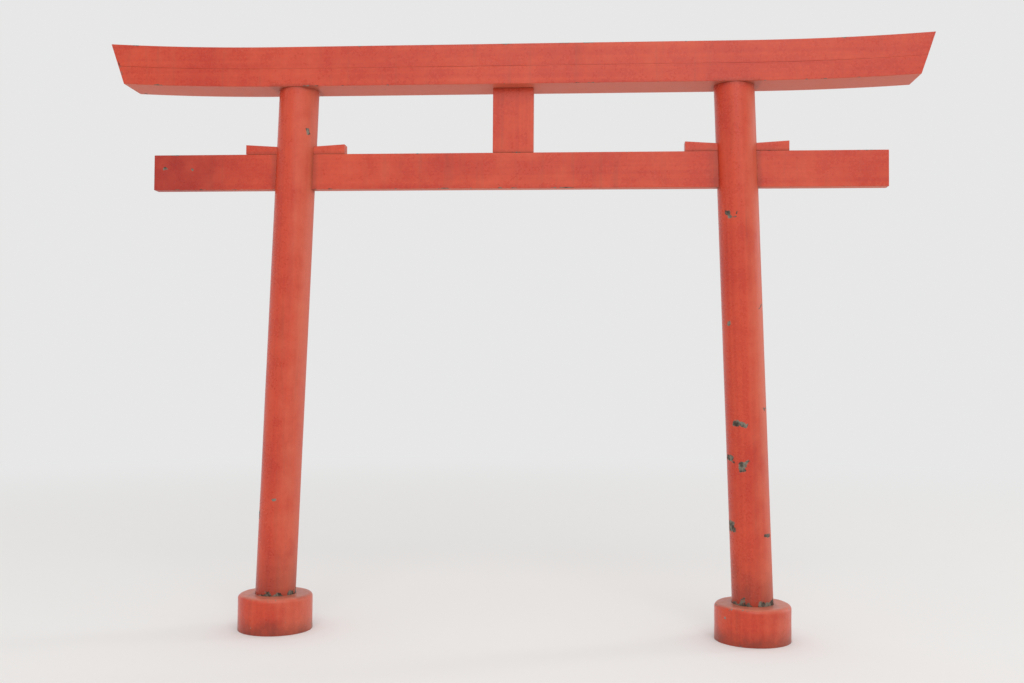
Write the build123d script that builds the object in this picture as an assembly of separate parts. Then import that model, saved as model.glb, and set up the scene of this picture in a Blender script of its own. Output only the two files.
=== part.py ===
from build123d import *
from math import asin, cos, degrees, radians, sin, tan
import os

# Torii gate: painted timber on two round bases, in millimetres.
# X runs along the gate and Z up. Y runs through the gateway, with the front towards -Y.
# The origin lies on the ground, midway between the two bases.
# Pieces on the right (+X) are drawn, and those on the left are their mirror images.

# Bases
BASE_DIAMETER = 500
BASE_HEIGHT = 240
BASE_SHOULDER_RADIUS = 30
SOCKET_DEPTH = 150  # how far a pillar's foot goes down into its base

# Pillars
PILLAR_DIAMETER = 270
PILLAR_SPACING = 3195  # between the axes, where they leave the bases
PILLAR_LEAN = 2.05  # degrees that each pillar leans inwards
PILLAR_TENON_LENGTH = 130
PILLAR_TENON_WIDTH = 90
PILLAR_TENON_HEIGHT = 75

# Tie beam, which runs through both pillars
GATEWAY_HEIGHT = 2980  # from the ground to the tie beam's underside
TIE_BEAM_LENGTH = 4955
TIE_BEAM_HEIGHT = 242
TIE_BEAM_THICKNESS = 80

# Wedges, driven in over the tie beam from both sides of each pillar
WEDGE_REACH = 208  # how far a wedge stands out from the side of its pillar
WEDGE_HEIGHT_AT_PILLAR = 53
WEDGE_SLOPE = 1 / 16
WEDGE_TIP_GAP = 12  # between the tips of a pair of wedges, inside the pillar

# Strut between the tie beam and the lintels
STRUT_HEIGHT = 440
STRUT_WIDTH = 275
STRUT_TENON_WIDTH = 165
STRUT_TENON_THICKNESS = 45
STRUT_TENON_HEIGHT = 60

# Lintels, straight in the middle and curving up towards both ends
LINTEL_LENGTH = 5300  # between the slanting end cuts, at the level of the straight underside
LINTEL_DEPTH = 280  # of both, whose faces are flush
LINTEL_STRAIGHT_LENGTH = 3100
LINTEL_CURVE_RADIUS = 19500
LINTEL_END_SLANT = 18.5  # degrees that each end cut leans outwards
LOWER_LINTEL_HEIGHT = 121
UPPER_LINTEL_HEIGHT = 148  # of its upright faces, up to the eaves
UPPER_LINTEL_RIDGE_RISE = 36  # from the eaves to the ridge

# Fits and finish
FIT = 0.3  # clearance between two pieces
TIMBER_CHAMFER = 4

# Worked out from the sizes above
TIE_BEAM_TOP = GATEWAY_HEIGHT + TIE_BEAM_HEIGHT
LINTEL_UNDERSIDE = TIE_BEAM_TOP + STRUT_HEIGHT
BEYOND = PILLAR_DIAMETER  # how far cutting tools run past what they cut


def pillar_axis_x(height):
    """Distance of a pillar's axis from the gate's middle, at a height above the ground."""
    return PILLAR_SPACING / 2 - (height - BASE_HEIGHT) * tan(radians(PILLAR_LEAN))


def block(length, depth, low, high, x=0):
    """Upright block between two heights, centred on the gate's middle plane."""
    return Pos(x, 0, (low + high) / 2) * Box(length, depth, high - low)


def mirrored(piece):
    """The same piece on the other side of the gateway."""
    return mirror(piece, about=Plane.YZ)


def leaning_cylinder(diameter, low, high):
    """Cylinder along the right pillar's axis, cut level at two heights."""
    along = (-sin(radians(PILLAR_LEAN)), 0, cos(radians(PILLAR_LEAN)))
    start = Plane(origin=(pillar_axis_x(low - BEYOND), 0, low - BEYOND), z_dir=along)
    length = (high - low + 2 * BEYOND) / cos(radians(PILLAR_LEAN))
    bar = start * Cylinder(diameter / 2, length, align=(Align.CENTER, Align.CENTER, Align.MIN))
    middle = pillar_axis_x((low + high) / 2)
    return bar & block(PILLAR_SPACING, 2 * diameter, low, high, middle)


def base():
    """Round base with a rounded shoulder and a leaning socket for the pillar's foot."""
    drum = Cylinder(BASE_DIAMETER / 2, BASE_HEIGHT, align=(Align.CENTER, Align.CENTER, Align.MIN))
    shoulder = drum.edges().group_by(Axis.Z)[-1]
    drum = fillet(shoulder, BASE_SHOULDER_RADIUS)
    socket_floor = BASE_HEIGHT - SOCKET_DEPTH
    socket = leaning_cylinder(PILLAR_DIAMETER + 2 * FIT, socket_floor, BASE_HEIGHT + BEYOND)
    return Pos(pillar_axis_x(BASE_HEIGHT), 0, 0) * drum - socket


def wedge_height(distance):
    """Height of a wedge over the tie beam, at a distance from its pillar's axis."""
    return WEDGE_HEIGHT_AT_PILLAR + (distance - PILLAR_DIAMETER / 2) * WEDGE_SLOPE


def wedge(side):
    """Wedge on the outer (side 1) or inner (side -1) face of the right pillar."""
    tip = WEDGE_TIP_GAP / 2
    free_end = PILLAR_DIAMETER / 2 + WEDGE_REACH
    foot = TIE_BEAM_TOP + FIT
    outline = Polyline(
        (tip, foot),
        (free_end, foot),
        (free_end, TIE_BEAM_TOP + wedge_height(free_end)),
        (tip, TIE_BEAM_TOP + wedge_height(tip)),
        close=True,
    )
    piece = extrude(Plane.XZ * make_face(outline), TIE_BEAM_THICKNESS / 2, both=True)
    if side < 0:
        piece = mirrored(piece)
    return Pos(pillar_axis_x(TIE_BEAM_TOP), 0, 0) * piece


def pillar_mortise():
    """Hole through the right pillar for the tie beam, with a roof that follows both wedges."""
    reach = PILLAR_DIAMETER / 2 + BEYOND
    roof_at_reach = TIE_BEAM_TOP + wedge_height(reach) + FIT
    outline = Polyline(
        (-reach, GATEWAY_HEIGHT - FIT),
        (reach, GATEWAY_HEIGHT - FIT),
        (reach, roof_at_reach),
        (0, TIE_BEAM_TOP + wedge_height(0) + FIT),
        (-reach, roof_at_reach),
        close=True,
    )
    hole = extrude(Plane.XZ * make_face(outline), TIE_BEAM_THICKNESS / 2 + FIT, both=True)
    return Pos(pillar_axis_x(TIE_BEAM_TOP), 0, 0) * hole


def pillar_tenon(clearance=0):
    """Stub on the right pillar's top, or, with a clearance, its mortise in the lower lintel."""
    return block(
        PILLAR_TENON_LENGTH + 2 * clearance,
        PILLAR_TENON_WIDTH + 2 * clearance,
        LINTEL_UNDERSIDE - 2 * FIT,
        LINTEL_UNDERSIDE + PILLAR_TENON_HEIGHT - FIT + clearance,
        pillar_axis_x(LINTEL_UNDERSIDE),
    )


def pillar():
    """Round leaning pillar from its socket up to the lower lintel, pierced for the tie beam."""
    foot = BASE_HEIGHT - SOCKET_DEPTH + FIT
    above = LINTEL_UNDERSIDE + LOWER_LINTEL_HEIGHT
    lintel_seat = curved_bar(rectangle_section(-FIT, LOWER_LINTEL_HEIGHT + BEYOND, 2 * PILLAR_DIAMETER))
    shaft = leaning_cylinder(PILLAR_DIAMETER, foot, above) - lintel_seat
    return shaft + pillar_tenon() - pillar_mortise()


def strut_tenon(low, high, clearance=0):
    """Stub at one end of the strut, or, with a clearance, the mortise that takes it."""
    return block(
        STRUT_TENON_WIDTH + 2 * clearance,
        STRUT_TENON_THICKNESS + 2 * clearance,
        low - clearance,
        high + clearance,
    )


def lower_strut_tenon(clearance=0):
    """Stub from the strut down into the tie beam, or its mortise."""
    return strut_tenon(TIE_BEAM_TOP - STRUT_TENON_HEIGHT, TIE_BEAM_TOP + 2 * FIT, clearance)


def upper_strut_tenon(clearance=0):
    """Stub from the strut up into the lower lintel, or its mortise."""
    return strut_tenon(LINTEL_UNDERSIDE - 2 * FIT, LINTEL_UNDERSIDE + STRUT_TENON_HEIGHT, clearance)


def strut():
    """Short flat post in the gate's middle, tenoned at both ends and flush with the tie beam."""
    body = block(STRUT_WIDTH, TIE_BEAM_THICKNESS, TIE_BEAM_TOP + FIT, LINTEL_UNDERSIDE - FIT)
    body = chamfer(body.edges().filter_by(Axis.Z), TIMBER_CHAMFER)
    return body + lower_strut_tenon() + upper_strut_tenon()


def tie_beam():
    """Flat beam through both pillars, with square ends and a mortise on top for the strut."""
    beam = block(TIE_BEAM_LENGTH, TIE_BEAM_THICKNESS, GATEWAY_HEIGHT, TIE_BEAM_TOP)
    beam = chamfer(beam.edges(), TIMBER_CHAMFER)
    return beam - lower_strut_tenon(FIT)


def rectangle_section(low, high, depth):
    """Rectangular section between two heights over the lintels' straight underside."""
    outline = Polyline(
        (-depth / 2, LINTEL_UNDERSIDE + low),
        (depth / 2, LINTEL_UNDERSIDE + low),
        (depth / 2, LINTEL_UNDERSIDE + high),
        (-depth / 2, LINTEL_UNDERSIDE + high),
        close=True,
    )
    return Plane.YZ * make_face(outline)


def curved_bar(section):
    """Bar with this section along the lintels' line: straight, then swept up at both ends."""
    half_straight = LINTEL_STRAIGHT_LENGTH / 2
    past_the_end = LINTEL_LENGTH / 2 + BEYOND - half_straight
    turn = degrees(asin(past_the_end / LINTEL_CURVE_RADIUS))
    curve_axis = Axis((half_straight, 0, LINTEL_UNDERSIDE + LINTEL_CURVE_RADIUS), (0, -1, 0))
    middle = extrude(section, half_straight, both=True)
    right_end = revolve(Pos(half_straight, 0, 0) * section, curve_axis, turn)
    return middle + right_end + mirrored(right_end)


def with_end_cuts(bar):
    """The bar between the two slanting planes that cut both lintels off."""
    slant = radians(LINTEL_END_SLANT)
    for side in (1, -1):
        corner = (side * LINTEL_LENGTH / 2, 0, LINTEL_UNDERSIDE)
        outwards = (side * cos(slant), 0, -sin(slant))
        bar = split(bar, Plane(origin=corner, z_dir=outwards), keep=Keep.BOTTOM)
    return bar


def lower_lintel():
    """Lower lintel, with mortises underneath for the pillars and the strut."""
    bar = with_end_cuts(curved_bar(rectangle_section(0, LOWER_LINTEL_HEIGHT, LINTEL_DEPTH)))
    pillar_mortises = pillar_tenon(FIT) + mirrored(pillar_tenon(FIT))
    return bar - pillar_mortises - upper_strut_tenon(FIT)


def upper_lintel():
    """Upper lintel with upright faces and a low gabled top."""
    foot = LINTEL_UNDERSIDE + LOWER_LINTEL_HEIGHT + FIT
    eaves = foot + UPPER_LINTEL_HEIGHT
    outline = Polyline(
        (-LINTEL_DEPTH / 2, foot),
        (LINTEL_DEPTH / 2, foot),
        (LINTEL_DEPTH / 2, eaves),
        (0, eaves + UPPER_LINTEL_RIDGE_RISE),
        (-LINTEL_DEPTH / 2, eaves),
        close=True,
    )
    return with_end_cuts(curved_bar(Plane.YZ * make_face(outline)))


def gate_pieces():
    """Every piece of the gate, by the name that its file takes."""
    pieces = {
        "tie_beam": tie_beam(),
        "centre_strut": strut(),
        "lower_lintel": lower_lintel(),
        "upper_lintel": upper_lintel(),
    }
    right_pieces = {
        "base": base(),
        "pillar": pillar(),
        "outer_wedge": wedge(1),
        "inner_wedge": wedge(-1),
    }
    for name, piece in right_pieces.items():
        pieces["right_" + name] = piece
        pieces["left_" + name] = mirrored(piece)
    return pieces


os.makedirs("parts", exist_ok=True)
for name, piece in gate_pieces().items():
    export_step(piece, f"parts/{name}.step")
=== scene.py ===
# %% [markdown]
# The gate comes as a packed frame of plain solids that already stand at their real sizes and places.
# This script dresses that frame: it builds a finer mesh for each piece, paints it, and lights it.
# The frame is loaded first, and the dressed gate has to stay inside its box.

# %% Load the frame
from math import asin, cos, radians, sin, tan

import bmesh
import bpy
from mathutils import Matrix, Vector, noise


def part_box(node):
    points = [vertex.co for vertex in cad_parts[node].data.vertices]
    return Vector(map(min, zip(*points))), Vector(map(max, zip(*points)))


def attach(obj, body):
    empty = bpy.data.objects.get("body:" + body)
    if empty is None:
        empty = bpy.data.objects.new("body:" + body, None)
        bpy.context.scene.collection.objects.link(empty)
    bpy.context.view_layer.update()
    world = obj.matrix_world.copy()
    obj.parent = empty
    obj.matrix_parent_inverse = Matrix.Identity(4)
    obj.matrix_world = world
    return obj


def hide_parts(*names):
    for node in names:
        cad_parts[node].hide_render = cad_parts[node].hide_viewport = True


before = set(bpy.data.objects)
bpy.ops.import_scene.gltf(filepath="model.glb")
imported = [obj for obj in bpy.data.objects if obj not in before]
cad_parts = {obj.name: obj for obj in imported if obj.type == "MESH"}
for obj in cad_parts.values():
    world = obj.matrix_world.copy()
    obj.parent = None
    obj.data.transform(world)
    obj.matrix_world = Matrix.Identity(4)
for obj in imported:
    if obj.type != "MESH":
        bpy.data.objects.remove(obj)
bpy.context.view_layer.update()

# %% [markdown]
# Where a camera stands sets the perspective, and its lens only sets how much is in the picture. So the
# camera keeps the place from which the gate was photographed: half a metre right of the gateway's middle,
# 7.4 m away, at the height of a standing eye. The lens is wider than the photograph's, so that the
# lintels are in the picture, and it aims at the gate's middle.

# %% Camera
IMAGE_WIDTH = 1024
SENSOR_WIDTH = 36.0
FOCAL_LENGTH_PIXELS = 1100
CAMERA_PLACE = Vector((0.54, -7.38, 1.72))
CAMERA_TARGET = Vector((0.0, 0.0, 1.95))
CAMERA_ROLL = radians(0.39)


def add_object(name, data):
    """A new object in the scene."""
    thing = bpy.data.objects.new(name, data)
    bpy.context.scene.collection.objects.link(thing)
    return thing


def aimed(place, target):
    """The matrix of a camera or lamp that stands at a place and faces a target."""
    return Matrix.Translation(place) @ (target - place).to_track_quat("-Z", "Y").to_matrix().to_4x4()


def add_camera():
    """Camera at the photograph's viewing angle, with its roll."""
    data = bpy.data.cameras.new("camera")
    data.sensor_width = SENSOR_WIDTH
    data.lens = FOCAL_LENGTH_PIXELS / IMAGE_WIDTH * SENSOR_WIDTH
    camera = add_object("camera", data)
    camera.matrix_world = aimed(CAMERA_PLACE, CAMERA_TARGET) @ Matrix.Rotation(CAMERA_ROLL, 4, "Z")
    bpy.context.scene.camera = camera
    print("lens", round(data.lens, 1), "mm")


add_camera()

# %% [markdown]
# The gate's main sizes are read off the frame's boxes, or are driving sizes of its source. A leaning
# pillar fills a box that is wider than the pillar, but just as deep. The lintels' curve is an arc of a
# circle that starts where their straight middle ends.

# %% Sizes
SIDES = {"left": -1, "right": 1}
PILLAR_LEAN = radians(2.05)
LINTEL_STRAIGHT = 1.55
LINTEL_CURVE_RADIUS = 19.5
LINTEL_END_SLANT = radians(18.5)
LINTEL_HALF_LENGTH = 2.65

beam_low, beam_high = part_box("tie_beam")
base_low, base_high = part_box("right_base")
pillar_low, pillar_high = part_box("right_pillar")
strut_low, strut_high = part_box("centre_strut")
lintel_low, lintel_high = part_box("lower_lintel")

BASE_RADIUS = (base_high.y - base_low.y) / 2
BASE_TOP = base_high.z
BASE_AXIS_X = (base_low.x + base_high.x) / 2
PILLAR_RADIUS = (pillar_high.y - pillar_low.y) / 2
PILLAR_FOOT = pillar_low.z
LINTEL_UNDERSIDE = lintel_low.z
LINTEL_HALF_DEPTH = (lintel_high.y - lintel_low.y) / 2


def pillar_axis_x(height):
    """Distance of a pillar's axis from the gate's middle plane, at a height."""
    return BASE_AXIS_X - (height - BASE_TOP) * tan(PILLAR_LEAN)


print("pillar radius", round(PILLAR_RADIUS, 4), "lintels over", round(LINTEL_UNDERSIDE, 3))

# %% [markdown]
# Materials are graphs of nodes, but a long graph is easier to read as arithmetic. The class below wraps
# one socket of a graph, and Python's operators on it add Math nodes, so that 1 - mask is a mask turned
# round. Colours go through Mix nodes, because a Math node would turn them grey. Any other node comes
# from the method called node.

# %% Shader arithmetic
class Shade:
    """A socket of a material's graph, which can be reckoned with."""

    def __init__(self, tree, socket):
        self.tree = tree
        self.socket = socket

    def node(self, kind, settings, inputs, output=0):
        """A new node with its settings, then the values or links of its inputs, as one of its outputs."""
        made = self.tree.nodes.new(kind)
        for setting, value in settings.items():
            setattr(made, setting, value)
        for name, value in inputs.items():
            if isinstance(value, Shade):
                self.tree.links.new(value.socket, made.inputs[name])
            else:
                made.inputs[name].default_value = value
        return Shade(self.tree, made.outputs[output]) if made.outputs else None

    def math(self, operation, *values):
        return self.node("ShaderNodeMath", {"operation": operation}, dict(enumerate(values)))

    def vector(self, operation, *others, output="Vector"):
        inputs = dict(enumerate([self, *others]))
        return self.node("ShaderNodeVectorMath", {"operation": operation}, inputs, output)

    def __add__(self, other):
        return self.math("ADD", self, other)

    def __sub__(self, other):
        return self.math("SUBTRACT", self, other)

    def __rsub__(self, other):
        return self.math("SUBTRACT", other, self)

    def __mul__(self, other):
        return self.math("MULTIPLY", self, other)

    def __truediv__(self, other):
        return self.math("DIVIDE", self, other)

    __radd__ = __add__
    __rmul__ = __mul__

    def __abs__(self):
        return self.math("ABSOLUTE", self)

    def least(self, other):
        return self.math("MINIMUM", self, other)

    def most(self, other):
        return self.math("MAXIMUM", self, other)

    def root(self):
        return self.math("SQRT", self)

    def length(self):
        return self.vector("LENGTH", output="Value")

    def axes(self):
        """The three numbers of a vector."""
        split = self.node("ShaderNodeSeparateXYZ", {}, {0: self}).socket.node
        return [Shade(self.tree, socket) for socket in split.outputs]

    def rise(self, start, end):
        """0 before start and 1 past end, with a smooth step between them."""
        limits = {"Value": self, "From Min": start, "From Max": end}
        return self.node("ShaderNodeMapRange", {"interpolation_type": "SMOOTHSTEP"}, limits)

    def blend(self, under, over):
        """The over colour on the under colour, by this amount."""
        return self.node("ShaderNodeMix", {"data_type": "RGBA"}, {0: self, 6: under, 7: over}, 2)

    def mapped(self, place=(0, 0, 0), turn=(0, 0, 0), size=(1, 1, 1)):
        """Coordinates from a place, turned there, and measured in a pattern's size along each axis."""
        inputs = {"Vector": self, "Location": place, "Rotation": turn, "Scale": size}
        return self.node("ShaderNodeMapping", {"vector_type": "TEXTURE"}, inputs)

    def noise(self, scale, detail=3.0, roughness=0.55):
        inputs = {"Vector": self, "Scale": scale, "Detail": detail, "Roughness": roughness}
        return self.node("ShaderNodeTexNoise", {}, inputs)

    def cells(self, spacing, output):
        return self.node("ShaderNodeTexVoronoi", {}, {"Vector": self, "Scale": 1 / spacing}, output)


print(len(vars(Shade)), "names in Shade")

# %% [markdown]
# Every material starts and ends in the same way. It starts from the object's own coordinates, in metres,
# and from the direction that the surface faces. It ends in one Principled shader, to which only what
# varies over the surface is linked. The relief is given in metres and goes through a Bump node.

# %% Start and end of a material
PAINT_SPECULAR = 0.4


def new_material(name):
    """An empty material, its object coordinates, and the three parts of its normal."""
    material = bpy.data.materials.new(name)
    material.use_nodes = True
    tree = material.node_tree
    tree.nodes.clear()
    source = tree.nodes.new("ShaderNodeTexCoord")
    facing = Shade(tree, source.outputs["Normal"]).axes()
    return material, Shade(tree, source.outputs["Object"]), facing


def give_surface(material, surface_colour, roughness, relief):
    """Joins a colour, a roughness and a relief to a material's output."""
    bump = relief.node("ShaderNodeBump", {}, {"Strength": 1.0, "Distance": 1.0, "Height": relief})
    inputs = {
        "Base Color": surface_colour, "Roughness": roughness, "Normal": bump,
        "Specular IOR Level": PAINT_SPECULAR,
    }
    shader = relief.node("ShaderNodeBsdfPrincipled", {}, inputs)
    relief.node("ShaderNodeOutputMaterial", {}, {"Surface": shader})
    print(f"{material.name}: {len(material.node_tree.nodes)} nodes")
    return material


# %% [markdown]
# The gate's colour is vermilion. Clean, it is a warm red between a deep and a clean tone. It is paler
# where it faces the sky and the right, partly by chalking and partly as painted light, its undersides are
# painted paler as light from below, and the tie beam's left end is painted darker as shade. Where the
# thick film has flaked off, bare wood shows as a dull grey with a crisp edge. Colours are written as a
# screen shows them, from 0 to 255, and a shader takes the light they stand for, so one helper turns the
# first into the second.

# %% Colours
def colour(*screen_values):
    """The linear values that a shader takes for a screen's red, green and blue."""
    shares = [value / 255 for value in screen_values]
    light = [share / 12.92 if share <= 0.04045 else ((share + 0.055) / 1.055) ** 2.4 for share in shares]
    return (*light, 1.0)


VERMILION = colour(212, 79, 49)
DEEP_VERMILION = colour(188, 54, 36)
# A darker red, painted as shade at the tie beam's left end.
PAINTED_SHADE_VERMILION = colour(158, 38, 28)
# Paler vermilion: chalking, and painted light on the right-hand sides and the undersides.
CHALKED_AND_LIT_VERMILION = colour(209, 108, 82)
BARE_WOOD = colour(132, 124, 110)
BARE_WOOD_DARK = colour(58, 50, 42)
# A pale rim round each flake, painted as a highlight on the film's broken edge.
FILM_EDGE_HIGHLIGHT = colour(214, 140, 118)
# Dark grime for runs, specks, damp and earth, and painted shade near the joints.
GRIME_AND_SHADE = colour(88, 52, 40)
DUST = colour(178, 150, 130)
BARE_STONE = colour(140, 134, 124)
BARE_STONE_DARK = colour(92, 86, 78)
PALE_FLOOR = colour(240, 239, 237)
print("vermilion", [round(value, 3) for value in VERMILION])

# %% [markdown]
# A flake is a patch where the paint has let go. A brittle film breaks along short cracks that run where
# they like, so a flake is angular and its outline wanders. A Voronoi pattern gives the angles: every point
# of a cell is moved part of the way to the cell's own centre before the flake is looked up, and a noise
# moves it on for the wandering. Large flakes are built from a few lobes, which are rounded rectangles
# at places read from the photograph, and crumbs are strewn.

# %% Flakes
FLAKE_CELL = 0.011
CELL_PULL = 0.4
TEAR_SCALE = 42.0
TEAR_REACH = 0.026
CRUMB_SPACING = 0.20
CRUMB_SHARE = 0.13
CRUMB_RADIUS = 0.017
LEAST_RADIUS = 0.0001


def torn_coordinates(place):
    """Coordinates that jump from one small cell to the next, and wander within it."""
    centres = place.cells(FLAKE_CELL, "Position")
    pulled = place.node("ShaderNodeMix", {"data_type": "VECTOR"}, {0: CELL_PULL, 4: place, 5: centres}, 1)
    waves = place.node("ShaderNodeTexNoise", {}, {"Vector": place, "Scale": TEAR_SCALE}, "Color")
    return waves.vector("MULTIPLY_ADD", (TEAR_REACH,) * 3, pulled).mapped(place=(TEAR_REACH / 2,) * 3)


def flake_distance(torn, lobes):
    """Distance to the nearest flake, in which 1 is its edge. A lobe is (centre, half sizes, turn)."""
    near = torn.cells(CRUMB_SPACING, "Distance")
    chance = torn.cells(CRUMB_SPACING, "Color").axes()[0]
    radius = (chance - (1 - CRUMB_SHARE)).most(0.0) * (CRUMB_RADIUS / CRUMB_SPACING / CRUMB_SHARE)
    distance = near / (radius + LEAST_RADIUS)
    for centre, half_sizes, turn in lobes:
        local = torn.mapped(centre, (0, radians(turn), 0), half_sizes)
        distance = distance.least(local.vector("MULTIPLY", local).length().root())
    return distance


print(f"crumbs up to {2000 * CRUMB_RADIUS:.0f} mm wide, in {CRUMB_SHARE:.0%} of the cells")

# %% [markdown]
# An arris is the corner line of a timber, and paint is thinnest there, so it wears through first. How far
# a point is from the nearest arris can be reckoned from its place: on a box, it is the middle one of its
# three distances to the box's faces. The lintels curve up, so their height is first taken off the curve.

# %% Arrises
ARRIS_LEAST_WEAR = 0.0003
ARRIS_WEAR = 0.06
ARRIS_WEAR_START = 0.57


def lintel_rise(x):
    """How far the lintels have risen at a distance from the gate's middle."""
    past = (abs(x) - LINTEL_STRAIGHT).most(0.0)
    return past * past / (2 * LINTEL_CURVE_RADIUS)


def arris_distance(place, low, high, curved):
    """Distance from a point on a timber's surface to its nearest arris."""
    x, y, z = place.axes()
    centre = (low + high) / 2
    half = (high - low) / 2
    reach = half.x - abs(x - centre.x)
    if curved:
        z = z - lintel_rise(x)
        reach = (z - LINTEL_UNDERSIDE) * tan(LINTEL_END_SLANT) + LINTEL_HALF_LENGTH - abs(x)
    along, through, up = abs(reach), abs(half.y - abs(y - centre.y)), abs(half.z - abs(z - centre.z))
    return along.least(through).most(along.most(through).least(up))


def worn_arris_distance(place, low, high, curved):
    """Distance to a worn arris, in which 1 is the edge of the wear."""
    spots = (place.noise(9.0, 4.0, 0.7) - ARRIS_WEAR_START).most(0.0)
    return arris_distance(place, low, high, curved) / (spots * ARRIS_WEAR + ARRIS_LEAST_WEAR)


print(f"arrises are worn {ARRIS_LEAST_WEAR * 1000:.1f} mm wide or more")

# %% [markdown]
# Where two timbers meet, the paint is darkened, partly as dirt that settles where rain can't wash it away
# and partly as painted shade in the corner. Each material is told the boxes of the pieces that its own
# piece touches, and the distance to the nearest of them darkens it.

# %% Joints
JOINT_REACH = 0.03


def pillar_box(side, low, high):
    """Box round a pillar between two heights, as two corners."""
    ends = (pillar_axis_x(low) * side, pillar_axis_x(high) * side)
    reach = Vector((PILLAR_RADIUS, PILLAR_RADIUS, 0))
    return Vector((min(ends), 0, low)) - reach, Vector((max(ends), 0, high)) + reach


def both_pillars(low, high):
    """The boxes round both pillars between two heights."""
    return [pillar_box(side, low, high) for side in SIDES.values()]


def joint_distance(place, boxes):
    """Distance from a point to the nearest of some boxes."""
    nearest = None
    for low, high in boxes:
        size = place.vector("SUBTRACT", (low + high) / 2).vector("ABSOLUTE")
        distance = size.vector("SUBTRACT", (high - low) / 2).vector("MAXIMUM", (0, 0, 0)).length()
        nearest = distance if nearest is None else nearest.least(distance)
    return nearest


pillars_at_beam = both_pillars(beam_low.z, beam_high.z)
print("pillars pass the beam at x =", [round((low.x + high.x) / 2, 3) for low, high in pillars_at_beam])

# %% [markdown]
# The wood under the paint is old and grey. Its soft spring wood has weathered away between harder lines,
# so a noise that is stretched along the timber gives both its colour and its ridges. On an end that is
# sawn across, the same timber shows rings instead, and a Wave texture draws them round the tree's heart,
# a line along X a little off the middle of the tie beam. The lintels share it, so their rings are wide arcs.

# %% Bare wood
GRAIN_ACROSS = 0.003
GRAIN_ALONG = 0.24
RING_SPACING = 0.007
WAVE_PERIOD_AT_SCALE_1 = 0.314
RING_HEART = (0, 0.04, (beam_low.z + beam_high.z) / 2 - 0.05)


def grain_coordinates(place, along):
    """Coordinates in which the grain's lines are as long as they are wide."""
    sizes = [GRAIN_ACROSS] * 3
    sizes["XYZ".index(along)] = GRAIN_ALONG
    return place.mapped(size=sizes)


def end_rings(place):
    """Growth rings about a line along X through the heart."""
    settings = {"wave_type": "RINGS", "rings_direction": "X"}
    inputs = {
        "Vector": place.mapped(RING_HEART), "Scale": WAVE_PERIOD_AT_SCALE_1 / RING_SPACING,
        "Distortion": 2.2, "Detail": 2.0, "Detail Scale": 0.4,
    }
    return place.node("ShaderNodeTexWave", settings, inputs)


def timber_ridges(place, facing, grain, fields, along):
    """Ridges of the grain, and the rings on the ends of a timber that lies along X."""
    ridges = grain.noise(1.0, 4.0, 0.55) * 0.6 + fields["brush"] * 0.4
    if along == "X":
        on_end = abs(facing[0]).rise(0.6, 0.85)
        ridges = ridges * (1 - on_end) + (end_rings(place) * 0.6 + fields["fine"] * 0.4) * on_end
    return ridges


print("rings every", RING_SPACING * 1000, "mm round a heart", round(RING_HEART[2], 3), "m up")

# %% [markdown]
# The film of paint varies slowly and finely at once: drifts of most of a metre, patches of a hand's width,
# a mottle of a finger's width, specks, brush marks along the timber, and faint upright runs from rain.
# Each is a noise that colour, gloss and relief share, so that they agree. Chalking pales what faces the
# sky. The right-hand sides are paler too, partly by chalking and partly as painted light from the right,
# and the undersides are painted paler as bounce light from below.

# %% Film of paint
# Each noise has a scale, and most have a detail and a roughness too.
NOISES = {"drift": (1.3,), "patch": (7.0, 4.0, 0.6), "fine": (60.0, 4.0, 0.6), "speck": (330.0, 2.0, 0.5)}
GRAIN_NOISES = {"figure": (0.11,), "brush": (3.2, 4.0, 0.6)}
RUN_SIZE = (0.05, 0.05, 0.9)


def film_fields(place, facing, grain):
    """The slow and fine variations that colour, gloss and relief share."""
    fields = {name: place.noise(*values) for name, values in NOISES.items()}
    for name, values in GRAIN_NOISES.items():
        fields[name] = grain.noise(*values)
    fields["runs"] = place.mapped(size=RUN_SIZE).noise(1.0)
    # Paler towards the sky and the right-hand side: chalking, and partly painted light from the right.
    exposed_and_lit = (facing[0] * 0.8 + facing[2] * 0.9 - facing[1] * 0.15).rise(-0.2, 1.0)
    uneven = fields["patch"] * 0.5 + fields["runs"] * 0.4 + fields["drift"] * 0.3
    # Paler undersides: painted bounce light from below.
    under = facing[2].rise(-0.4, -0.9) * (fields["patch"] * 0.4 + 0.75)
    fields["chalk"] = (exposed_and_lit * 0.55 + uneven).rise(0.66, 1.35).most(under)
    return fields


print("the film varies by", *NOISES, *GRAIN_NOISES, "and runs of", RUN_SIZE[2], "m")

# %% [markdown]
# The film's colour is mixed from under to over, as a painter glazes. First comes vermilion between its
# deep and its clean tone, then the pale of chalking and painted light, then a thin grime in the brush
# marks, runs and specks. Dust lies on what faces up, and near the joints the paint is darkened, partly as
# dirt and partly as painted shade.

# %% Colour of the film
CHALK_AND_LIGHT_SHARE = 0.8
RUN_SHARE = 0.16
BRUSH_SHARE = 0.14
SPECK_SHARE = 0.3
DUST_SHARE = 0.55
JOINT_SHARE = 0.25


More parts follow.
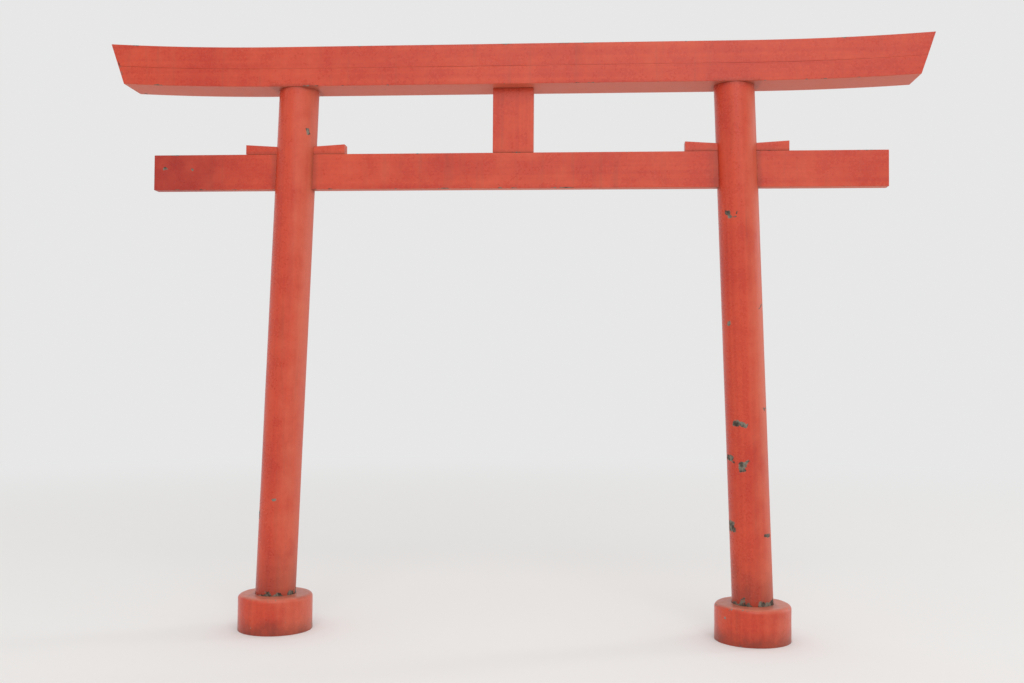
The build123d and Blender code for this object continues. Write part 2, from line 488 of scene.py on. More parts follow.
def film_colour(fields, facing, joints):
    """Colour of the weathered film, with painted light on pale sides and painted shade at the joints."""
    depth = fields["drift"] * 0.4 + fields["patch"] * 0.3 + fields["figure"] * 0.3 + fields["fine"] * 0.25
    film = depth.rise(0.44, 0.82).blend(DEEP_VERMILION, VERMILION)
    # Chalking and painted light pale the film.
    film = (fields["chalk"] * CHALK_AND_LIGHT_SHARE).blend(film, CHALKED_AND_LIT_VERMILION)
    washed = fields["runs"].rise(0.56, 0.78) * RUN_SHARE + (fields["brush"] - 0.5) * BRUSH_SHARE
    film = (washed + fields["speck"].rise(0.60, 0.72) * SPECK_SHARE).blend(film, GRIME_AND_SHADE)
    dusty = facing[2].rise(0.6, 0.95) * (fields["patch"] * 0.7 + fields["fine"] * 0.5 - 0.15)
    film = (dusty * DUST_SHARE).blend(film, DUST)
    # Near a joint the paint is darkened: dirt, and painted shade in the corner.
    joint_dirt_and_shade = (1 - (joints + (fields["patch"] - 0.5) * 0.03).rise(0.0, JOINT_REACH)) * JOINT_SHARE
    return (joint_dirt_and_shade * (fields["fine"] * 0.8 + 0.6)).blend(film, GRIME_AND_SHADE)


# %% [markdown]
# The foot of a post is wet for longest. Damp darkens the paint there, less and less up to knee height, and
# just over the base the film has let go in blotches. A height divided by a band's width gives both a
# straight edge, so a strong noise is added to it, which breaks the edge up.

# %% Damp foot
FOOT_BAND = 0.026
DAMP_HEIGHT = 0.4


def dampness(height, foot, patch):
    """How damp the paint is, from 1 at the foot to 0 above the damp."""
    return 1 - (height + (patch - 0.5) * 0.3).rise(foot, foot + DAMP_HEIGHT)


def foot_distance(place, height, foot):
    """Distance to the blotches at a post's damp foot, in which 1 is their edge."""
    return ((height - foot) / FOOT_BAND + (place.noise(16.0, 4.0, 0.6) - 0.5) * 9 + 0.5).most(0.0)


print("damp rises", DAMP_HEIGHT, "m over a base")

# %% [markdown]
# A painted timber is then the film, with wood wherever a flake, a worn arris or the damp foot of a post
# has bared it. The nearest of the three says where that is. It picks the colour and the roughness, and it
# also drops the relief by the film's thickness, so every flake has a real edge that catches the light.
# An end that is always in shade can be darker.
# The left end of the tie beam is painted darker, as painted shade.

# %% Painted timber
FILM_THICKNESS = 0.0007
GRAIN_RELIEF = 0.0008
BRUSH_RELIEF = 0.00015
SPECK_RELIEF = 0.0003
WOOD_RELIEF = 0.0012
WOOD_ROUGHNESS = 0.86
EDGE_HIGHLIGHT_SHARE = 0.4


def painted_timber(
    name, along, joints, lobes=(), turn=(0, 0, 0), arris_box=None, curved=False, foot=None, painted_shade_end=None
):
    """Weathered vermilion over wood, with painted light and shade, for a timber along X or Z."""
    material, place, facing = new_material(name)
    grain = grain_coordinates(place.mapped(turn=turn), along)
    fields = film_fields(place, facing, grain)
    film = film_colour(fields, facing, joint_distance(place, joints))
    x, _, height = place.axes()
    # Painted shade: a darker red towards one end.
    if painted_shade_end is not None:
        film = ((1 - x.rise(*painted_shade_end)) * (1.2 - fields["patch"])).blend(film, PAINTED_SHADE_VERMILION)

    distance = flake_distance(torn_coordinates(place), lobes)
    if foot is not None:
        damp = dampness(height, foot, fields["patch"])
        film = (damp * (fields["runs"] * 0.5 + 0.12)).blend(film, GRIME_AND_SHADE)
        distance = distance.least(foot_distance(place, height, foot))
    if arris_box is not None:
        distance = distance.least(worn_arris_distance(place, *arris_box, curved))
    distance = distance + (fields["fine"] - 0.5) * 0.5
    bare = 1 - distance.rise(0.96, 1.04)
    # A pale painted highlight round each flake, on the film's edge.
    edge = (1 - distance.rise(1.0, 1.1)) * (1 - bare)
    film = (edge * EDGE_HIGHLIGHT_SHARE).blend(film, FILM_EDGE_HIGHLIGHT)

    ridges = timber_ridges(place, facing, grain, fields, along)
    tone = ridges * 0.35 + fields["fine"] * 0.25 + place.noise(34.0, 2.0) * 0.9
    wood = tone.rise(0.58, 0.92).blend(BARE_WOOD_DARK, BARE_WOOD)
    brushed = fields["brush"] * BRUSH_RELIEF + fields["speck"] * SPECK_RELIEF
    painted_relief = ridges * GRAIN_RELIEF + brushed + FILM_THICKNESS
    relief = painted_relief * (1 - bare) + ridges * bare * WOOD_RELIEF
    gloss = fields["chalk"] * 0.28 + fields["patch"] * 0.14 + fields["fine"] * 0.08 + 0.17
    roughness = gloss * (1 - bare) + bare * WOOD_ROUGHNESS
    return give_surface(material, bare.blend(film, wood), roughness, relief)


print("the film is", FILM_THICKNESS * 1000, "mm thick")

# %% [markdown]
# The bases are blocks of stone or mortar under the same paint. Their surface is coarser than timber, with
# pits instead of grain, for which the middles of a Voronoi pattern's cells serve. Rain splashes earth onto
# them, so the film is darker and more broken towards the ground. Pale grey stone shows where it has come
# off, a little more along the shoulder.

# %% Painted stone
STONE_RELIEF = 0.0018
PIT_DEPTH = 0.0009
PIT_SPACING = 0.012
SPLASH_HEIGHT = 0.13


def painted_stone(name, joints):
    """Vermilion over a coarse block, worn at the shoulder and stained near the ground."""
    material, place, facing = new_material(name)
    grain = grain_coordinates(place, "Z")
    fields = film_fields(place, facing, grain)
    height = place.axes()[2]
    coarse = place.noise(38.0, 5.0, 0.65)
    pits = 1 - place.cells(PIT_SPACING, "Distance").rise(0.10, 0.34)
    film = film_colour(fields, facing, joint_distance(place, joints))
    earth = 1 - (height + (fields["patch"] - 0.5) * 0.14).rise(-0.02, SPLASH_HEIGHT)
    film = (earth * (coarse * 0.7 + 0.25)).blend(film, GRIME_AND_SHADE)

    shoulder = facing[2].rise(0.15, 0.5) * (1 - facing[2].rise(0.75, 0.95))
    wear = coarse * 0.6 + fields["patch"] * 0.5 + shoulder * 0.08 + earth * 0.05
    bare = wear.rise(0.70, 0.72)
    stone = (fields["fine"] * 0.6 + coarse * 0.5).rise(0.35, 0.75).blend(BARE_STONE_DARK, BARE_STONE)
    relief = coarse * STONE_RELIEF - pits * PIT_DEPTH + (1 - bare) * FILM_THICKNESS
    roughness = fields["chalk"] * 0.12 + coarse * 0.16 + bare * 0.4 + 0.22
    return give_surface(material, bare.blend(film, stone), roughness, relief)


base_paint = painted_stone("base_paint", both_pillars(BASE_TOP, beam_low.z))

# %% [markdown]
# Each mesh is made in a bmesh and then becomes an object. Nearly every one starts either as a block
# between two corners, or as a ring of edges that is pulled along in even steps.

# %% Start of a piece
MERGE_DISTANCE = 1e-6


def all_of(bm):
    """The vertices, edges and faces of a bmesh, as its operators want them."""
    return [*bm.verts, *bm.edges, *bm.faces]


def block(low, high):
    """A bmesh box between two corners."""
    bm = bmesh.new()
    low, high = Vector(low), Vector(high)
    fit = Matrix.Translation((low + high) / 2) @ Matrix.Diagonal((*(high - low), 1.0))
    bmesh.ops.create_cube(bm, size=1.0, matrix=fit)
    return bm


def pull(bm, ring, step, count):
    """Pulls a ring of edges along by even steps, and returns the last ring."""
    for _ in range(count):
        made = bmesh.ops.extrude_edge_only(bm, edges=ring)["geom"]
        ring = [item for item in made if isinstance(item, bmesh.types.BMEdge)]
        verts = [item for item in made if isinstance(item, bmesh.types.BMVert)]
        bmesh.ops.translate(bm, verts=verts, vec=step)
    return ring


def on_side(bm, side):
    """Mirrors a right-hand mesh for the left side."""
    if side < 0:
        bmesh.ops.scale(bm, vec=(-1, 1, 1), verts=bm.verts)
        bmesh.ops.reverse_faces(bm, faces=bm.faces)
    return bm


def mesh_object(name, bm):
    """An object from a bmesh, with doubles merged and normals outwards."""
    bmesh.ops.remove_doubles(bm, verts=bm.verts, dist=MERGE_DISTANCE)
    bmesh.ops.recalc_face_normals(bm, faces=bm.faces)
    mesh = bpy.data.meshes.new(name)
    bm.to_mesh(mesh)
    bm.free()
    return add_object(name, mesh)


print("points nearer than", MERGE_DISTANCE * 1000, "mm are one")

# %% [markdown]
# A joiner's plane softens every arris and leaves long shallow waves that a painted timber shows in slanting
# light. An arris is softened with a bevel of a few segments. The waves need points to move, so a piece is
# first sliced across at even steps, and then each point goes a little inwards by a noise that is stretched
# along the timber. Nothing goes outwards, so a piece never outgrows its solid.

# %% Working a surface
CORNER_ANGLE = radians(20)
CUT_DISTANCE = 1e-7
WAVE_STRETCH = 5


def soften(bm, edges, width, segments=3):
    """Rounds arrises to a width."""
    bmesh.ops.bevel(
        bm, geom=edges, offset=width, offset_type="OFFSET", segments=segments,
        profile=0.5, affect="EDGES", material=-1, clamp_overlap=True,
    )


def sharp_edges(bm, least=CORNER_ANGLE):
    """Edges where two faces meet at more than a slight angle."""
    return [edge for edge in bm.edges if edge.calc_face_angle(0.0) > least]


def slice_along(bm, axis, low, high, step):
    """Adds loops across a piece at even steps along an axis."""
    start, end = low["XYZ".index(axis)], high["XYZ".index(axis)]
    count = max(1, round((end - start) / step))
    direction = Vector((axis == "X", axis == "Y", axis == "Z"))
    for turn in range(1, count):
        at = direction * (start + (end - start) * turn / count)
        bmesh.ops.bisect_plane(bm, geom=all_of(bm), plane_co=at, plane_no=direction, dist=CUT_DISTANCE)


def hand_worked(thing, waves, along, stretch=WAVE_STRETCH):
    """Takes a little off the surface, in waves (depth, width) that are longer along the timber."""
    depth, width = waves
    sizes = [width] * 3
    sizes["XYZ".index(along)] = width * stretch
    mesh = thing.data
    normals = [vertex.normal.copy() for vertex in mesh.vertices]
    for vertex, normal in zip(mesh.vertices, normals):
        spot = Vector([value / size for value, size in zip(vertex.co, sizes)])
        height = vertex.co.z
        vertex.co += normal * depth * (noise.noise(spot) - 1) / 2
        if height < MERGE_DISTANCE:
            vertex.co.z = height


print("a plane's waves are", WAVE_STRETCH, "times as long as they are wide")

# %% [markdown]
# A Boolean cuts a mortise out of a piece, as a chisel does, or joins a tenon on. Its tool is a mesh of its
# own, which reaches a little past the surface so that no two faces coincide. A seat gap parts a piece from
# what it is seated on, and a joint gap lies round each tenon. At the end a piece gets smooth shading with
# sharp corners, and is handed over to the frame: it rides on the one body, gets its material, and stands
# for one solid.

# %% Joinery and handing over
SEAT_GAP = 0.0003
JOINT_GAP = 0.0012
OVERREACH = 0.02
SHARP_ANGLE = radians(32)
NORMAL_WEIGHT = 70


def tenon_block(x, section, low, high, gap=0.0):
    """A tenon between two heights, or its mortise when there is a gap."""
    half_length, half_width = section[0] / 2 + gap, section[1] / 2 + gap
    return block((x - half_length, -half_width, low), (x + half_length, half_width, high))


def apply_modifier(thing, kind, **settings):
    """Gives a piece the mesh that a modifier makes of it."""
    modifier = thing.modifiers.new("finish", kind)
    for setting, value in settings.items():
        setattr(modifier, setting, value)
    graph = bpy.context.evaluated_depsgraph_get()
    made = bpy.data.meshes.new_from_object(thing.evaluated_get(graph))
    thing.modifiers.remove(modifier)
    thing.data = made


def combine(thing, operation, bm):
    """Cuts a bmesh out of a piece, or joins it on."""
    tool = mesh_object("tool", bm)
    apply_modifier(thing, "BOOLEAN", operation=operation, solver="EXACT", object=tool)
    bpy.data.objects.remove(tool)


def hand_over(thing, node, material):
    """Finishes a piece: its shading, its material, and the solid that it stands for."""
    mesh = thing.data
    mesh.materials.clear()
    mesh.materials.append(material)
    mesh.shade_smooth()
    mesh.set_sharp_from_angle(angle=SHARP_ANGLE)
    apply_modifier(thing, "WEIGHTED_NORMAL", keep_sharp=True, weight=NORMAL_WEIGHT)
    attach(thing, "root")
    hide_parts(node)
    triangles = sum(len(face.vertices) - 2 for face in thing.data.polygons)
    print(f"{thing.name}: {len(thing.data.vertices)} vertices, {triangles} triangles")


print(f"gaps of {SEAT_GAP * 1000:.1f} mm at seats and {JOINT_GAP * 1000:.1f} mm in joints")

# %% [markdown]
# A pillar is one round log, the same width all the way up, leaning in towards its partner. A cylinder
# could simply be tilted, but its ends would tilt too. Here a level ring is drawn and pulled up in short
# steps along the lean, so both ends stay level, and the many rings let the plane's waves show in the paint.

# %% Leaning log
ROUND_SEGMENTS = 112
PILLAR_STEP = 0.032
PILLAR_WAVES = (0.0018, 0.11)


def log_mesh(radius, low, high, steps=1):
    """Leaning round bar on the right side, with level ends."""
    bm = bmesh.new()
    across = 1 / cos(PILLAR_LEAN)
    start = Matrix.Translation((pillar_axis_x(low), 0, low)) @ Matrix.Diagonal((across, 1, 1, 1))
    bmesh.ops.create_circle(bm, segments=ROUND_SEGMENTS, radius=radius, matrix=start)
    foot = list(bm.edges)
    head = pull(bm, foot, Vector((-tan(PILLAR_LEAN), 0, 1)) * (high - low) / steps, steps)
    bmesh.ops.contextual_create(bm, geom=foot)
    bmesh.ops.contextual_create(bm, geom=head)
    return bm


print("a pillar leans in by", round(pillar_axis_x(PILLAR_FOOT) - pillar_axis_x(LINTEL_UNDERSIDE), 3), "m")

# %% [markdown]
# A tenon on the pillar's head holds the lintel, and the tie beam runs through a mortise. The mortise is
# carved as the joiner does it: a box, whose roof slopes down to the middle for the wedges that are
# driven in over the beam from both sides.

# %% Pillars
WEDGE_HEIGHT_AT_PILLAR = 0.053
WEDGE_SLOPE = 1 / 16
MORTISE_REACH = 1.6
PILLAR_TENON = (0.130, 0.090)
PILLAR_TENON_HEIGHT = 0.0747


def wedge_height(distance):
    """Height of a wedge over the tie beam, at a distance from its pillar's axis."""
    return WEDGE_HEIGHT_AT_PILLAR + (distance - PILLAR_RADIUS) * WEDGE_SLOPE


def mortise_mesh():
    """The hole through the right pillar: a box, whose roof is lowered in the middle."""
    axis_x = pillar_axis_x(beam_high.z)
    reach = Vector((PILLAR_RADIUS * MORTISE_REACH, JOINT_GAP, JOINT_GAP))
    low, high = Vector((axis_x, beam_low.y, beam_low.z)), Vector((axis_x, beam_high.y, beam_high.z))
    bm = block(low - reach, high + reach)
    bmesh.ops.bisect_plane(bm, geom=all_of(bm), plane_co=(axis_x, 0, 0), plane_no=(1, 0, 0))
    for vertex in bm.verts:
        if vertex.co.z > beam_high.z:
            vertex.co.z += wedge_height(abs(vertex.co.x - axis_x))
    return bm


def pillar(side, name):
    """A pillar with its tenon and its mortise."""
    top = LINTEL_UNDERSIDE - SEAT_GAP
    steps = round((top - PILLAR_FOOT) / PILLAR_STEP)
    log = mesh_object(name, on_side(log_mesh(PILLAR_RADIUS, PILLAR_FOOT, top, steps), side))
    hand_worked(log, PILLAR_WAVES, "Z")
    x = pillar_axis_x(LINTEL_UNDERSIDE)
    tenon = tenon_block(x, PILLAR_TENON, top - OVERREACH, top + PILLAR_TENON_HEIGHT)
    combine(log, "UNION", on_side(tenon, side))
    combine(log, "DIFFERENCE", on_side(mortise_mesh(), side))
    return log


print("a wedge is", round(wedge_height(PILLAR_RADIUS), 3), "m high where it enters the pillar")

# %% [markdown]
# The photograph shows the flakes on the posts well enough to place them one by one. Each lobe is given by
# how far it is from the post's middle line as seen from the front, its height, its half width, its half
# height and its turn in degrees.

# %% Flakes on the pillars, and their paint
FLAKE_DEPTH = 0.05
PILLAR_LOBES = {
    "left": [
        (0.098, 3.362, 0.010, 0.019, 0), (0.094, 3.378, 0.007, 0.010, 20),
        (-0.004, 0.879, 0.014, 0.010, 15), (-0.128, 0.762, 0.010, 0.024, 0), (-0.126, 0.788, 0.014, 0.012, 0),
    ],
    "right": [
        (-0.078, 1.419, 0.020, 0.021, 0), (-0.052, 1.415, 0.020, 0.014, -12),
        (-0.030, 1.409, 0.024, 0.014, -14),
        (-0.056, 1.136, 0.020, 0.031, 8), (-0.048, 1.152, 0.022, 0.018, 0), (-0.029, 1.161, 0.029, 0.012, 53),
        (-0.121, 1.192, 0.020, 0.018, -20), (-0.104, 1.166, 0.005, 0.005, 0),
        (0.112, 1.515, 0.004, 0.005, 0), (0.116, 1.500, 0.005, 0.004, 30), (0.124, 1.520, 0.004, 0.006, 0),
        (-0.125, 0.745, 0.018, 0.034, 0), (-0.110, 0.722, 0.010, 0.014, 0),
        (-0.086, 2.801, 0.013, 0.016, 0), (-0.078, 2.786, 0.016, 0.009, -55),
        (-0.070, 2.771, 0.011, 0.012, 0), (-0.052, 2.770, 0.010, 0.003, 0),
        (-0.037, 2.770, 0.006, 0.004, 0), (-0.030, 2.796, 0.009, 0.004, 65),
        (0.108, 2.183, 0.020, 0.003, 50), (0.099, 0.692, 0.026, 0.010, -10), (-0.101, 2.074, 0.009, 0.014, 0),
    ],
}


def placed_lobes(side, lobes):
    """Lobes on the front of a pillar, as centres on its surface, half sizes and turns."""
    placed = []
    for offset, height, half_width, half_height, turn in lobes:
        centre = (side * pillar_axis_x(height) + offset, -((PILLAR_RADIUS ** 2 - offset ** 2) ** 0.5), height)
        placed.append((centre, (half_width, FLAKE_DEPTH, half_height), -turn))
    return placed


for name, side in SIDES.items():
    paint = painted_timber(
        f"{name}_pillar_paint", "Z", [(beam_low, beam_high), (lintel_low, lintel_high)],
        placed_lobes(side, PILLAR_LOBES[name]), turn=(0, -side * PILLAR_LEAN, 0), foot=BASE_TOP,
    )
    hand_over(pillar(side, f"{name}_pillar_log"), f"{name}_pillar", paint)

# %% [markdown]
# A round base keeps the pillar's foot out of the wet. A spun profile would do, but a disc pulled up to a
# drum takes fewer steps: a bevel with several segments makes the rounded shoulder. Rings on the sides and
# the top let a little noise roughen it as cast or pecked stone is, and the leaning socket is cut out last.

# %% Bases
BASE_SHOULDER = 0.030
SHOULDER_SEGMENTS = 8
BASE_RING_STEP = 0.018
TOP_RINGS = 4
BASE_WAVES = (0.0032, 0.05)
SOCKET_GAP = 0.002
SOCKET_OVERREACH = 0.1


def base_mesh():
    """Drum with a rounded shoulder, on the right side."""
    bm = bmesh.new()
    foot = Matrix.Translation((BASE_AXIS_X, 0, 0))
    bmesh.ops.create_circle(bm, segments=ROUND_SEGMENTS, radius=BASE_RADIUS, matrix=foot, cap_ends=True)
    made = bmesh.ops.extrude_face_region(bm, geom=list(bm.faces))["geom"]
    top = [item for item in made if isinstance(item, bmesh.types.BMVert)]
    bmesh.ops.translate(bm, verts=top, vec=(0, 0, BASE_TOP))
    rim = [edge for edge in bm.edges if all(vertex.co.z > BASE_TOP / 2 for vertex in edge.verts)]
    soften(bm, rim, BASE_SHOULDER, segments=SHOULDER_SEGMENTS)
    for _ in range(TOP_RINGS):
        lid = max(bm.faces, key=lambda face: face.calc_center_median().z + face.calc_area())
        bmesh.ops.inset_region(bm, faces=[lid], thickness=BASE_RING_STEP)
    slice_along(bm, "Z", (0, 0, 0), (0, 0, BASE_TOP - BASE_SHOULDER), BASE_RING_STEP)
    return bm


def base(side, name):
    """A base with its socket."""
    drum = mesh_object(name, on_side(base_mesh(), side))
    hand_worked(drum, BASE_WAVES, "X", stretch=1)
    socket = log_mesh(PILLAR_RADIUS + SOCKET_GAP, PILLAR_FOOT - SEAT_GAP, BASE_TOP + SOCKET_OVERREACH)
    combine(drum, "DIFFERENCE", on_side(socket, side))
    return drum


for name, side in SIDES.items():
    hand_over(base(side, f"{name}_base_block"), f"{name}_base", base_paint)

# %% [markdown]
# The tie beam is a long plank on edge that runs through both pillars and keeps them from spreading. It is
# a box with softened arrises, sliced crosswise so that the plane's waves can show. The strut stands on
# it with a tenon, so the beam has a mortise on top. Its square ends stand clear of the pillars, and the
# left one is painted darker, as painted shade.

# %% Tie beam
TIMBER_ARRIS = 0.004
TIMBER_STEP = 0.045
PLANK_WAVES = (0.0010, 0.12)
STRUT_TENON = (0.165, 0.045)
BEAM_PAINTED_SHADE_END = (-2.30, -1.70)
BEAM_LOBES = [
    ((-2.400, beam_low.y, 3.130), (0.013, FLAKE_DEPTH, 0.010), -20),
    ((-2.388, beam_low.y, 3.126), (0.008, FLAKE_DEPTH, 0.007), 0),
]


def timber(name, low, high, along):
    """A straight timber with softened arrises and a hand-planed surface."""
    bm = block(low, high)
    soften(bm, sharp_edges(bm), TIMBER_ARRIS)
    for axis in "XYZ":
        slice_along(bm, axis, low, high, TIMBER_STEP)
    thing = mesh_object(name, bm)
    hand_worked(thing, PLANK_WAVES, along)
    return thing


beam = timber("tie_beam_plank", beam_low, beam_high, "X")
beam_mortise = tenon_block(0, STRUT_TENON, strut_low.z - JOINT_GAP, beam_high.z + OVERREACH, JOINT_GAP)
combine(beam, "DIFFERENCE", beam_mortise)
# The beam's left end gets painted shade.
beam_paint = painted_timber(
    "tie_beam_paint", "X", pillars_at_beam, BEAM_LOBES,
    arris_box=(beam_low, beam_high), painted_shade_end=BEAM_PAINTED_SHADE_END,
)
hand_over(beam, "tie_beam", beam_paint)

# %% [markdown]
# Wedges lock the tie beam in the pillars. Each is driven in over the beam from one side, so it is thinner
# at its hidden tip. A slanting cut through a block would do, but setting a box's upper corners on the
# wedge's slope leaves no waste to clear.

# %% Wedges
WEDGE_ARRIS = 0.0025
WEDGE_STEP = 0.025
WEDGE_WAVES = (0.0008, 0.07)


def wedge(name, node):
    """One wedge, in its node's box, with its top sloping down towards the pillar."""
    low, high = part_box(node)
    axis_x = pillar_axis_x(beam_high.z) * (1 if low.x > 0 else -1)
    bm = block(low, high)
    for vertex in bm.verts:
        if vertex.co.z > (low.z + high.z) / 2:
            vertex.co.z = beam_high.z + wedge_height(abs(vertex.co.x - axis_x))
    soften(bm, sharp_edges(bm), WEDGE_ARRIS, segments=2)
    for axis in "XYZ":
        slice_along(bm, axis, low, high, WEDGE_STEP)
    thing = mesh_object(name, bm)
    hand_worked(thing, WEDGE_WAVES, "X")
    return thing


wedge_paint = painted_timber("wedge_paint", "X", [(beam_low, beam_high), *pillars_at_beam])
for node in ("left_outer_wedge", "left_inner_wedge", "right_inner_wedge", "right_outer_wedge"):
    hand_over(wedge(f"{node}_block", node), node, wedge_paint)

# %% [markdown]
# The strut is a short post, as thick as the tie beam and flush with it, that props the lintels in the
# middle. Its grain stands upright. A tenon at each end holds it in the beam below and the lintel above.
# The body is made as the tie beam is, so that only its own arrises are softened, and then it gets tenons.

# %% Centre strut
body_low = Vector((strut_low.x, strut_low.y, beam_high.z + SEAT_GAP))
body_high = Vector((strut_high.x, strut_high.y, LINTEL_UNDERSIDE - SEAT_GAP))
strut = timber("centre_strut_post", body_low, body_high, "Z")
for low_z, high_z in ((strut_low.z, body_low.z + OVERREACH), (body_high.z - OVERREACH, strut_high.z)):
    combine(strut, "UNION", tenon_block(0, STRUT_TENON, low_z, high_z))
strut_paint = painted_timber(
    "centre_strut_paint", "Z", [(beam_low, beam_high), (lintel_low, lintel_high)],
    arris_box=(body_low, body_high),
)
hand_over(strut, "centre_strut", strut_paint)

# %% [markdown]
# The two lintels share one line: straight over the gateway, then sweeping up towards both ends, where one
# slanting plane cuts them off. Half of each is made. Its section is drawn as a ring of edges in the
# gate's middle plane, pulled along the straight part, and spun round the far centre of the curve. Then
# the slanting plane trims the end, which is closed with a face.

# %% Half a lintel
LINTEL_STEP = 0.05
SECTION_CUTS = 3
CURVE_OVERREACH = 0.25


def half_lintel(section):
    """The right half of a lintel from its section points (y, height over the lintels' underside)."""
    bm = bmesh.new()
    corners = [bm.verts.new((0, y, LINTEL_UNDERSIDE + z)) for y, z in section]
    outline = [bm.edges.new(ends) for ends in zip(corners, corners[1:] + corners[:1])]
    bmesh.ops.subdivide_edges(bm, edges=outline, cuts=SECTION_CUTS)
    count = round(LINTEL_STRAIGHT / LINTEL_STEP)
    ring = pull(bm, list(bm.edges), (LINTEL_STRAIGHT / count, 0, 0), count)
    sweep = asin((LINTEL_HALF_LENGTH + CURVE_OVERREACH - LINTEL_STRAIGHT) / LINTEL_CURVE_RADIUS)
    verts = dict.fromkeys(vertex for edge in ring for vertex in edge.verts)
    bmesh.ops.spin(
        bm, geom=[*ring, *verts],
        cent=(LINTEL_STRAIGHT, 0, LINTEL_UNDERSIDE + LINTEL_CURVE_RADIUS), axis=(0, -1, 0),
        angle=sweep, steps=round(sweep * LINTEL_CURVE_RADIUS / LINTEL_STEP),
    )
    bmesh.ops.bisect_plane(
        bm, geom=all_of(bm), plane_co=(LINTEL_HALF_LENGTH, 0, LINTEL_UNDERSIDE),
        plane_no=(cos(LINTEL_END_SLANT), 0, -sin(LINTEL_END_SLANT)), clear_outer=True, dist=CUT_DISTANCE,
    )
    cut = [edge for edge in bm.edges if edge.is_boundary and edge.verts[0].co.x > LINTEL_STRAIGHT]
    bmesh.ops.contextual_create(bm, geom=cut)
    return bm


print("the lintels curve up over", round(LINTEL_HALF_LENGTH - LINTEL_STRAIGHT, 3), "m at each end")

# %% [markdown]
# A mirror gives the other half, and the two are merged in the middle. Then the arrises are softened. Where
# the upper lintel lies on the lower one, both keep nearly sharp corners, so the seam between them is a
# thin line. All other corners are rounded as the tie beam's are.

# %% Whole lintel
MIRROR_MERGE = 1e-5
ROUNDED_ANGLE = radians(24)
SEAM_REACH = 0.004
SEAM_ARRIS = 0.0005


def lintel_mesh(section, seam_height):
    """A lintel from its section points, with its arrises softened."""
    bm = half_lintel(section)
    bmesh.ops.mirror(bm, geom=all_of(bm), axis="X", merge_dist=MIRROR_MERGE)
    bmesh.ops.remove_doubles(bm, verts=bm.verts, dist=MIRROR_MERGE)
    bmesh.ops.recalc_face_normals(bm, faces=bm.faces)

    def at_seam(edge):
        middle = (edge.verts[0].co + edge.verts[1].co) / 2
        past = max(0.0, abs(middle.x) - LINTEL_STRAIGHT)
        rise = LINTEL_CURVE_RADIUS - (LINTEL_CURVE_RADIUS ** 2 - past ** 2) ** 0.5
        return abs(middle.z - rise - LINTEL_UNDERSIDE - seam_height) < SEAM_REACH

    seam = [edge for edge in sharp_edges(bm) if at_seam(edge)]
    soften(bm, seam, SEAM_ARRIS, segments=2)
    free = [edge for edge in sharp_edges(bm, ROUNDED_ANGLE) if not at_seam(edge)]
    soften(bm, free, TIMBER_ARRIS)
    return bm


print("the seam's corners are rounded to", SEAM_ARRIS * 1000, "mm")

# %% [markdown]
# The lower lintel is a plain beam in section. The upper one lies on it and has a low gabled top, so that
# rain runs off. Both are planed, and the lower one gets three mortises underneath: one for the strut and
# one for each pillar's tenon.

# %% The two lintels
LOWER_LINTEL_HEIGHT = 0.121
UPPER_LINTEL_EAVES = 0.148
UPPER_LINTEL_RIDGE_RISE = 0.036

seat = LOWER_LINTEL_HEIGHT + SEAT_GAP
eaves = seat + UPPER_LINTEL_EAVES
ridge = (0.0, eaves + UPPER_LINTEL_RIDGE_RISE)
front, back = -LINTEL_HALF_DEPTH, LINTEL_HALF_DEPTH
lower_section = [(front, 0.0), (back, 0.0), (back, LOWER_LINTEL_HEIGHT), (front, LOWER_LINTEL_HEIGHT)]
upper_section = [(front, seat), (back, seat), (back, eaves), ridge, (front, eaves)]
lower = mesh_object("lower_lintel_timber", lintel_mesh(lower_section, LOWER_LINTEL_HEIGHT))
upper = mesh_object("upper_lintel_timber", lintel_mesh(upper_section, seat))
for lintel in (lower, upper):
    hand_worked(lintel, PLANK_WAVES, "X")

under = LINTEL_UNDERSIDE - OVERREACH
roof = LINTEL_UNDERSIDE + PILLAR_TENON_HEIGHT + 2 * JOINT_GAP
mortises = [tenon_block(0, STRUT_TENON, under, strut_high.z + JOINT_GAP, JOINT_GAP)]
for side in reversed(SIDES.values()):
    mortise = tenon_block(pillar_axis_x(LINTEL_UNDERSIDE), PILLAR_TENON, under, roof, JOINT_GAP)
    mortises.append(on_side(mortise, side))
for mortise in mortises:
    combine(lower, "DIFFERENCE", mortise)
print("lower lintel has", len(mortises), "mortises")

# %% [markdown]
# Both lintels wear the same paint. Its worn arrises are those of the two together, because the corners at
# the seam are sheltered. Dirt gathers underneath, round the pillars' heads.

# %% Paint of the lintels
lintel_corners = [
    Vector((-LINTEL_HALF_LENGTH, front, LINTEL_UNDERSIDE)),
    Vector((LINTEL_HALF_LENGTH, back, LINTEL_UNDERSIDE + eaves)),
]
pillar_heads = both_pillars(beam_high.z, LINTEL_UNDERSIDE)
lintel_paint = painted_timber("lintel_paint", "X", pillar_heads, arris_box=lintel_corners, curved=True)
hand_over(lower, "lower_lintel", lintel_paint)
hand_over(upper, "upper_lintel", lintel_paint)

# %% [markdown]
# The floor is plain and pale, and only there to catch the shadow. A disc would show its rim as a horizon,
# so far from the gate a Mix Shader turns it into light of the background's colour.

# %% Floor
FLOOR_RADIUS = 60.0
FLOOR_SEGMENTS = 128
FLOOR_DROP = 0.0005
FLOOR_ROUGHNESS = 0.9
FADE_START = 5.0
FADE_END = 16.0
WHITE = (1, 1, 1, 1)
BACKGROUND_STRENGTH = 0.80


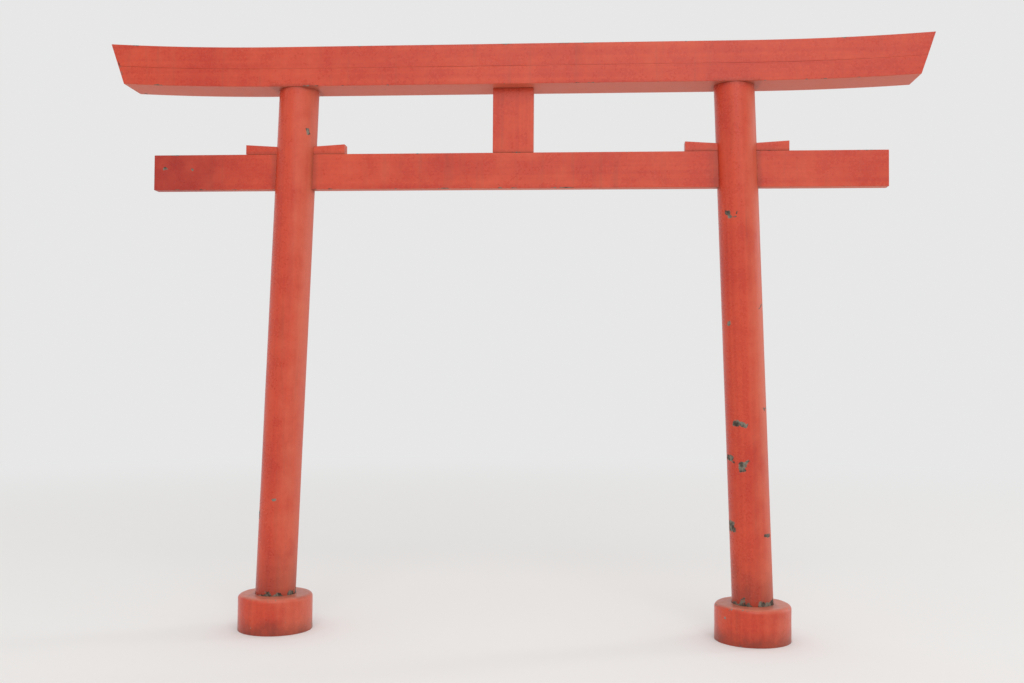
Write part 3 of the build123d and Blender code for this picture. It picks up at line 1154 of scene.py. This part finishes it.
def add_floor():
    """A large disc that fades into the background."""
    bm = bmesh.new()
    drop = Matrix.Translation((0, 0, -FLOOR_DROP))
    bmesh.ops.create_circle(bm, segments=FLOOR_SEGMENTS, radius=FLOOR_RADIUS, cap_ends=True, matrix=drop)
    floor = mesh_object("floor", bm)
    material, start, _ = new_material("floor")
    x, y, _ = start.axes()
    away = (x * x + y * y).root()
    inputs = {"Base Color": PALE_FLOOR, "Roughness": FLOOR_ROUGHNESS}
    ground = start.node("ShaderNodeBsdfPrincipled", {}, inputs)
    glow = start.node("ShaderNodeEmission", {}, {"Color": WHITE, "Strength": BACKGROUND_STRENGTH})
    both = start.node("ShaderNodeMixShader", {}, {0: away.rise(FADE_START, FADE_END), 1: ground, 2: glow})
    start.node("ShaderNodeOutputMaterial", {}, {"Surface": both})
    floor.data.materials.append(material)
    print("floor fades from", FADE_START, "to", FADE_END, "m")


add_floor()

# %% [markdown]
# The light is that of a bright overcast day, which comes from the whole sky, so an even world light does
# most of it. The camera, and what is mirrored in a glossy surface, see a plain pale backdrop instead.
# Light Path tells the kinds of ray apart.

# %% Sky
SKY_STRENGTH = 0.77


def add_world():
    """Even light from all round, with a pale backdrop for the camera and reflections."""
    world = bpy.data.worlds.new("overcast")
    bpy.context.scene.world = world
    world.use_nodes = True
    tree = world.node_tree
    tree.nodes.clear()
    path = tree.nodes.new("ShaderNodeLightPath")
    seen = Shade(tree, path.outputs["Is Camera Ray"])
    for kind in ("Is Glossy Ray", "Is Transmission Ray"):
        seen = seen.most(Shade(tree, path.outputs[kind]))
    strength = seen * (BACKGROUND_STRENGTH - SKY_STRENGTH) + SKY_STRENGTH
    sky = seen.node("ShaderNodeBackground", {}, {"Color": WHITE, "Strength": strength})
    seen.node("ShaderNodeOutputWorld", {}, {"Surface": sky})
    print("sky", SKY_STRENGTH, "backdrop", BACKGROUND_STRENGTH)


add_world()

# %% [markdown]
# One very large lamp, high in front and a little to the right, gives the round posts their form. A tall
# one behind the right-hand end adds a soft sheen along the posts' right sides. Both are large, so that
# shadows stay soft, and stand beyond the floor's fade, so that they leave no bright patch on it.

# %% Lamps
GATE_MIDDLE = Vector((0, 0, 1.5))
LAMPS = {
    "main_lamp": {"place": Vector((2.5, -16.5, 14.0)), "width": 15.0, "height": 15.0, "power": 1250.0},
    "side_lamp": {"place": Vector((24.0, 10.0, 8.0)), "width": 4.3, "height": 15.0, "power": 860.0},
}


def add_lamp(name, place, width, height, power):
    """A large soft lamp that faces the gate's middle."""
    data = bpy.data.lights.new(name, "AREA")
    data.shape = "RECTANGLE"
    data.size = width
    data.size_y = height
    data.energy = power
    add_object(name, data).matrix_world = aimed(place, GATE_MIDDLE)
    print(f"{name}: {power:.0f} W from {(place - GATE_MIDDLE).length:.1f} m")


for name, settings in LAMPS.items():
    add_lamp(name, **settings)
bpy.context.scene.view_settings.view_transform = "Standard"

# %% [markdown]
